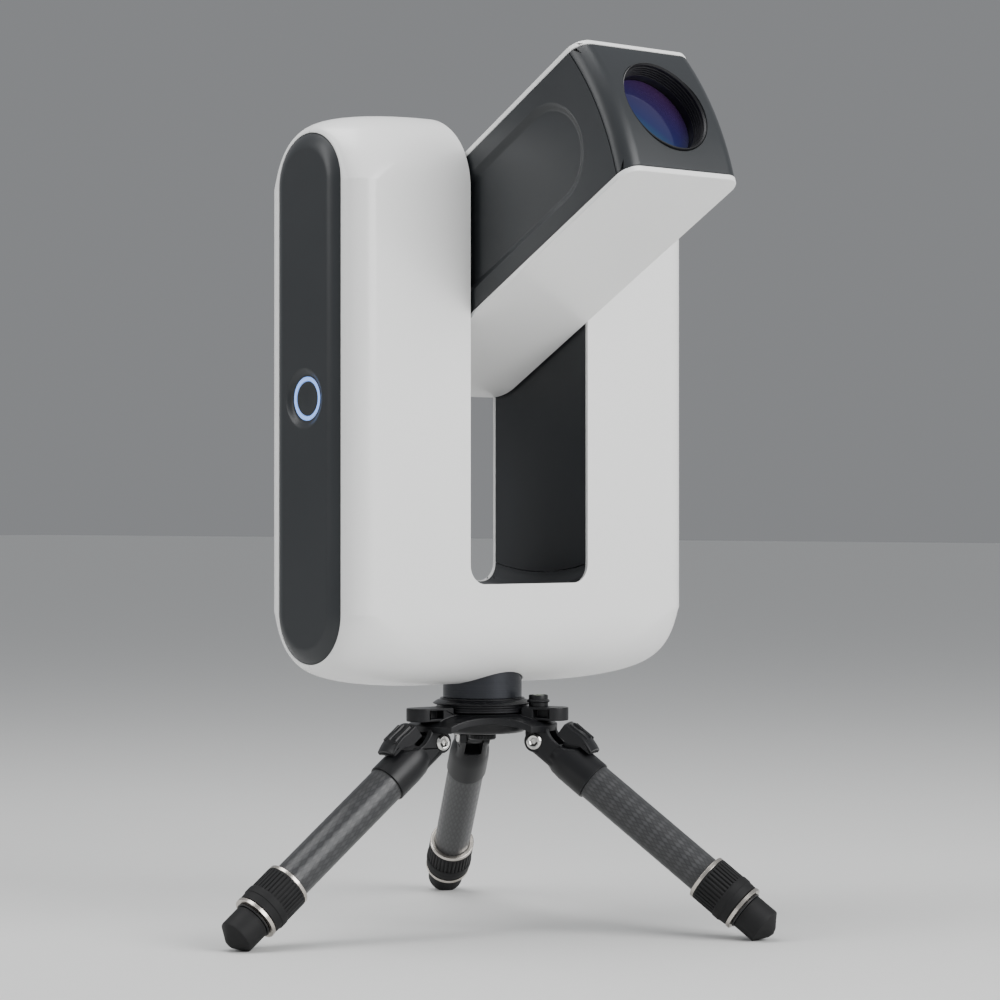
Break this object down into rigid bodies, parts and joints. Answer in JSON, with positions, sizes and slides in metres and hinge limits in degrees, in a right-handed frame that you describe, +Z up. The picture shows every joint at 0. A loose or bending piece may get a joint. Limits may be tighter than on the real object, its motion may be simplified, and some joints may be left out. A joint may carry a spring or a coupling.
{
  "type": "motorised star-tracking telescope mount",
  "caption": "U-shaped motorised star tracker with a tilting optical arm between its towers, a lit power button and a low folding carbon tripod.",
  "frame": {"origin": "on the floor, below the middle of the whole object's bounding box", "axes": "+Z up, -Y towards the lens, +X to the right when facing the lens's back; the power button is on the -X side"},
  "size_m": [0.4628, 0.4919, 0.7503],
  "materials": {
    "white_gloss": "gloss white moulded plastic",
    "dark_satin": "dark grey satin moulding",
    "black_paint": "matt black anodised or painted metal",
    "black_rubber": "matt black rubber",
    "carbon_tube": "carbon-fibre tube with a clear coat",
    "blue_light": "translucent light ring",
    "lens_glass": "coated optical glass",
    "bare_aluminium": "machined aluminium",
    "steel": "stainless steel",
    "brass": "cut brass",
    "circuit_board": "glass-fibre circuit board",
    "battery_wrap": "shrink-wrapped cells"
  },
  "bodies": {
    "root": {"tripod_spider": "black_paint", "head_adapter": "black_paint", "azimuth_neck": "dark_satin", "azimuth_gear": "brass", "bubble_level": "black_paint", "pivot_bolt_1": "steel", "pivot_bolt_2": "steel", "pivot_bolt_3": "steel"},
    "head": {"head_front_shell": "white_gloss", "head_rear_shell": "white_gloss", "left_side_panel": "dark_satin", "right_side_panel": "dark_satin", "slot_liner_left": "dark_satin", "slot_liner_right": "dark_satin", "slot_floor": "dark_satin", "head_frame": "bare_aluminium", "main_board": "circuit_board", "battery_pack": "battery_wrap", "altitude_bearing_left": "steel", "altitude_bearing_right": "steel", "azimuth_bearing": "steel", "azimuth_motor": "steel", "altitude_motor": "steel", "light_ring": "blue_light"},
    "azimuth_pinion": {"azimuth_pinion": "brass"},
    "altitude_pinion": {"altitude_pinion": "brass"},
    "power_button": {"power_button": "dark_satin"},
    "arm": {"arm_upper_shell": "white_gloss", "arm_lower_shell": "white_gloss", "arm_left_cover": "dark_satin", "arm_right_cover": "dark_satin", "arm_end_cap": "dark_satin", "lens_barrel": "black_paint", "objective_lens": "lens_glass", "optical_tube": "black_paint", "trunnion_left": "steel", "trunnion_right": "steel", "altitude_gear": "brass"},
    "focuser": {"focuser_drawtube": "bare_aluminium"},
    "camera": {"camera_module": "black_paint"},
    "mounting_screw": {"mounting_screw": "black_paint"},
    "leg_1": {"leg_collar_1": "black_paint", "upper_tube_1": "carbon_tube"},
    "angle_stop_1": {"angle_stop_1": "black_paint"},
    "twist_lock_1": {"twist_lock_1": "black_rubber"},
    "lower_leg_1": {"lower_section_1": "bare_aluminium", "rubber_foot_1": "black_rubber"},
    "leg_2": {"leg_collar_2": "black_paint", "upper_tube_2": "carbon_tube"},
    "angle_stop_2": {"angle_stop_2": "black_paint"},
    "twist_lock_2": {"twist_lock_2": "black_rubber"},
    "lower_leg_2": {"lower_section_2": "bare_aluminium", "rubber_foot_2": "black_rubber"},
    "leg_3": {"leg_collar_3": "black_paint", "upper_tube_3": "carbon_tube"},
    "angle_stop_3": {"angle_stop_3": "black_paint"},
    "twist_lock_3": {"twist_lock_3": "black_rubber"},
    "lower_leg_3": {"lower_section_3": "bare_aluminium", "rubber_foot_3": "black_rubber"}
  },
  "joints": [
    {"name": "azimuth", "type": "hinge", "parent": "root", "child": "head", "pos_m": [0.04079, 0.01066, 0.2135], "axis": [0, 0, 1], "continuous": true},
    {"name": "azimuth_pinion_spin", "type": "hinge", "parent": "head", "child": "azimuth_pinion", "pos_m": [0.07889, 0.01066, 0.23112], "axis": [0, 0, 1], "continuous": true},
    {"name": "altitude", "type": "hinge", "parent": "head", "child": "arm", "pos_m": [0.04079, 0.01066, 0.567], "axis": [-1, 0, 0], "range_deg": [-118.95, 61.05]},
    {"name": "altitude_pinion_spin", "type": "hinge", "parent": "head", "child": "altitude_pinion", "pos_m": [0.15329, 0.01066, 0.5289], "axis": [-1, 0, 0], "range_deg": [-200, 385]},
    {"name": "power_button_press", "type": "slide", "parent": "head", "child": "power_button", "axis": [1, 0, 0], "range_m": [0, 0.0012], "stiffness_N_per_m": 500},
    {"name": "focus", "type": "slide", "parent": "arm", "child": "focuser", "axis": [0, -0.875, 0.484], "range_m": [-0.004, 0.004]},
    {"name": "field_rotation", "type": "hinge", "parent": "focuser", "child": "camera", "pos_m": [0.04079, 0.01066, 0.567], "axis": [0, -0.875, 0.484], "continuous": true},
    {"name": "mounting_screw_turn", "type": "hinge", "parent": "root", "child": "mounting_screw", "pos_m": [0.04079, 0.01066, 0.169], "axis": [0, 0, 1], "continuous": true},
    {"name": "leg_fold_1", "type": "hinge", "parent": "root", "child": "leg_1", "pos_m": [-0.01319, 0.01226, 0.164], "axis": [-0.0297, -0.9996, 0], "range_deg": [0, 52.5]},
    {"name": "angle_stop_lift_1", "type": "hinge", "parent": "leg_1", "child": "angle_stop_1", "pos_m": [-0.06509, 0.0138, 0.15611], "axis": [-0.0297, -0.9996, 0], "range_deg": [0, 15], "stiffness_Nm_per_rad": 0.2},
    {"name": "twist_lock_turn_1", "type": "hinge", "parent": "leg_1", "child": "twist_lock_1", "pos_m": [-0.01531, 0.01233, 0.16678], "axis": [-0.793, 0.0235, -0.6088], "range_deg": [0, 90]},
    {"name": "leg_extension_1", "type": "slide", "parent": "leg_1", "child": "lower_leg_1", "axis": [-0.793, 0.0235, -0.6088], "range_m": [0, 0.12]},
    {"name": "leg_fold_2", "type": "hinge", "parent": "root", "child": "leg_2", "pos_m": [0.06917, 0.0566, 0.164], "axis": [-0.8508, 0.5255, 0], "range_deg": [0, 52.5]},
    {"name": "angle_stop_lift_2", "type": "hinge", "parent": "leg_2", "child": "angle_stop_2", "pos_m": [0.09645, 0.10078, 0.15611], "axis": [-0.8508, 0.5255, 0], "range_deg": [0, 15], "stiffness_Nm_per_rad": 0.2},
    {"name": "twist_lock_turn_2", "type": "hinge", "parent": "leg_2", "child": "twist_lock_2", "pos_m": [0.07029, 0.05842, 0.16678], "axis": [0.4169, 0.675, -0.6088], "range_deg": [0, 90]},
    {"name": "leg_extension_2", "type": "slide", "parent": "leg_2", "child": "lower_leg_2", "axis": [0.4169, 0.675, -0.6088], "range_m": [0, 0.12]},
    {"name": "leg_fold_3", "type": "hinge", "parent": "root", "child": "leg_3", "pos_m": [0.06639, -0.03689, 0.164], "axis": [0.8805, 0.4741, 0], "range_deg": [0, 52.5]},
    {"name": "angle_stop_lift_3", "type": "hinge", "parent": "leg_3", "child": "angle_stop_3", "pos_m": [0.09101, -0.0826, 0.15611], "axis": [0.8805, 0.4741, 0], "range_deg": [0, 15], "stiffness_Nm_per_rad": 0.2},
    {"name": "twist_lock_turn_3", "type": "hinge", "parent": "leg_3", "child": "twist_lock_3", "pos_m": [0.0674, -0.03876, 0.16678], "axis": [0.3761, -0.6985, -0.6088], "range_deg": [0, 90]},
    {"name": "leg_extension_3", "type": "slide", "parent": "leg_3", "child": "lower_leg_3", "axis": [0.3761, -0.6985, -0.6088], "range_m": [0, 0.12]}
  ],
  "couplings": [
    {"joint": "azimuth_pinion_spin", "follows": "azimuth", "ratio": 3.2},
    {"joint": "altitude_pinion_spin", "follows": "altitude", "ratio": -3.2}
  ]
}
